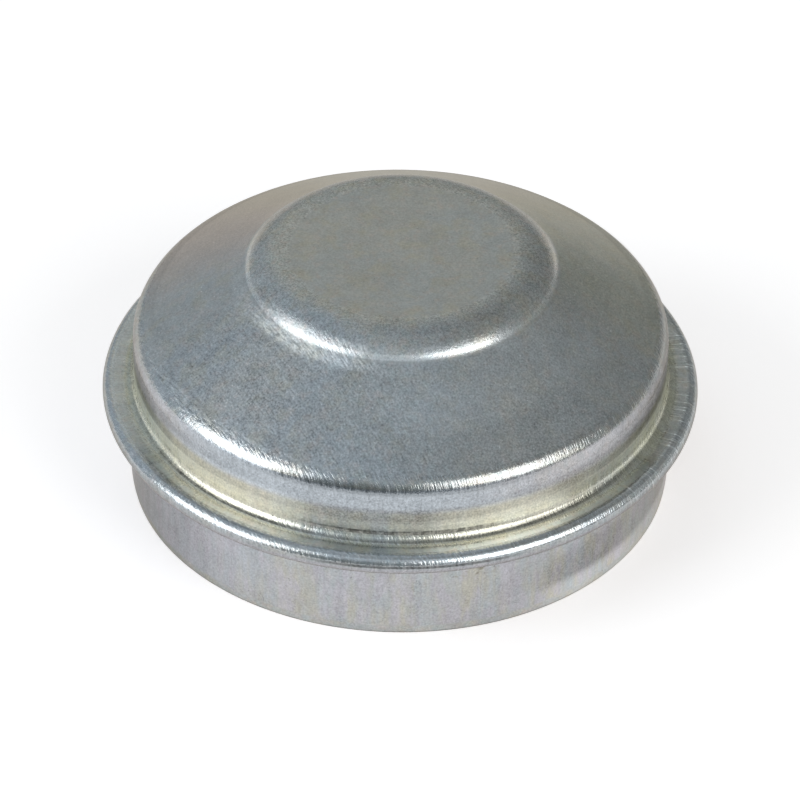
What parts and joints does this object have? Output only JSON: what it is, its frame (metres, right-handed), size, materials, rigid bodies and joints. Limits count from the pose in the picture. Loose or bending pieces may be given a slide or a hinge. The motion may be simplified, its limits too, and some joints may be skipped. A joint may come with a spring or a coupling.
{
  "type": "hub grease cap",
  "caption": "Pressed sheet-metal cap with a folded flange that pushes into a wheel hub's bore to keep grease in and dirt out of the bearing.",
  "frame": {"origin": "centre of the open rim, in the plane that the cap stands on", "axes": "+Z along the axis of the cap, from the open rim to the crown; X and Y are alike"},
  "size_m": [0.071, 0.071, 0.0313],
  "materials": {
    "zinc_plate": "satin zinc plate with fine draw marks"
  },
  "bodies": {
    "root": {"grease_cap": "zinc_plate"}
  },
  "joints": []
}
